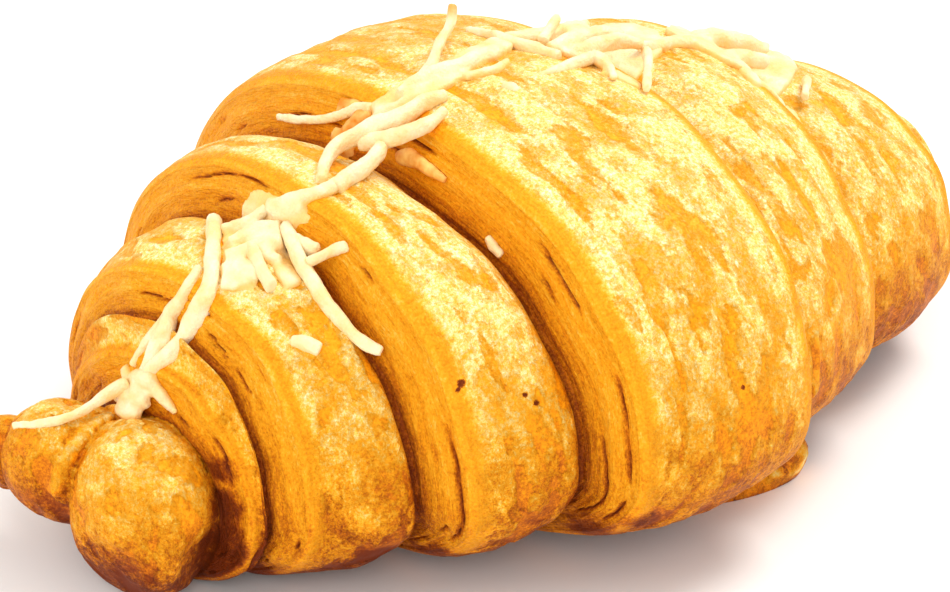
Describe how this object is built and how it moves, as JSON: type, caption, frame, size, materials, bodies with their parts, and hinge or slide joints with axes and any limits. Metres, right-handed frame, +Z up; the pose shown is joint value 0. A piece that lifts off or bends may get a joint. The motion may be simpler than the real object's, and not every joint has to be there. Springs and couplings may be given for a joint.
{
  "type": "croissant with baked cheese",
  "caption": "Golden laminated croissant, straight and plump, with shreds and melted patches of grated cheese baked along its back.",
  "frame": {"origin": "middle of the bounding box's underside, on the surface that it rests on", "axes": "+X along the roll from the near horn to the far horn, +Y across it, +Z up through its crown"},
  "size_m": [0.1446, 0.0938, 0.0557],
  "materials": {
    "crust": "egg-washed baked crust, satin, blistered and striated",
    "cheese": "melted cheese, soft sheen",
    "browned": "cheese toasted brown, satin"
  },
  "bodies": {
    "root": {"croissant": "crust", "shred_near_side": "cheese", "shred_near_long": "cheese", "shred_near_thin": "cheese", "shred_front_stub": "cheese", "shred_front_hanging": "cheese", "shred_front_cross": "cheese", "shred_front_flake": "cheese", "shred_back_left": "cheese", "shred_back_right": "cheese", "shred_back_flat": "cheese", "shred_back_fine": "cheese", "shred_back_curl": "browned", "shred_groove": "cheese", "shred_crown_upright": "cheese", "shred_crown_point": "cheese", "shred_crown_short": "cheese", "shred_crown_tail": "cheese", "shred_crown_hanging": "cheese", "shred_crown_crumb": "cheese", "shred_far_short": "cheese", "melt_near_knot": "cheese", "melt_front_sheet": "cheese", "melt_front_ridge": "cheese", "melt_back_ridge": "cheese", "melt_back_browned": "browned", "melt_crown_sheet": "cheese", "melt_crown_drop": "cheese", "melt_far_sheet": "cheese", "melt_far_patch": "cheese"}
  },
  "joints": []
}
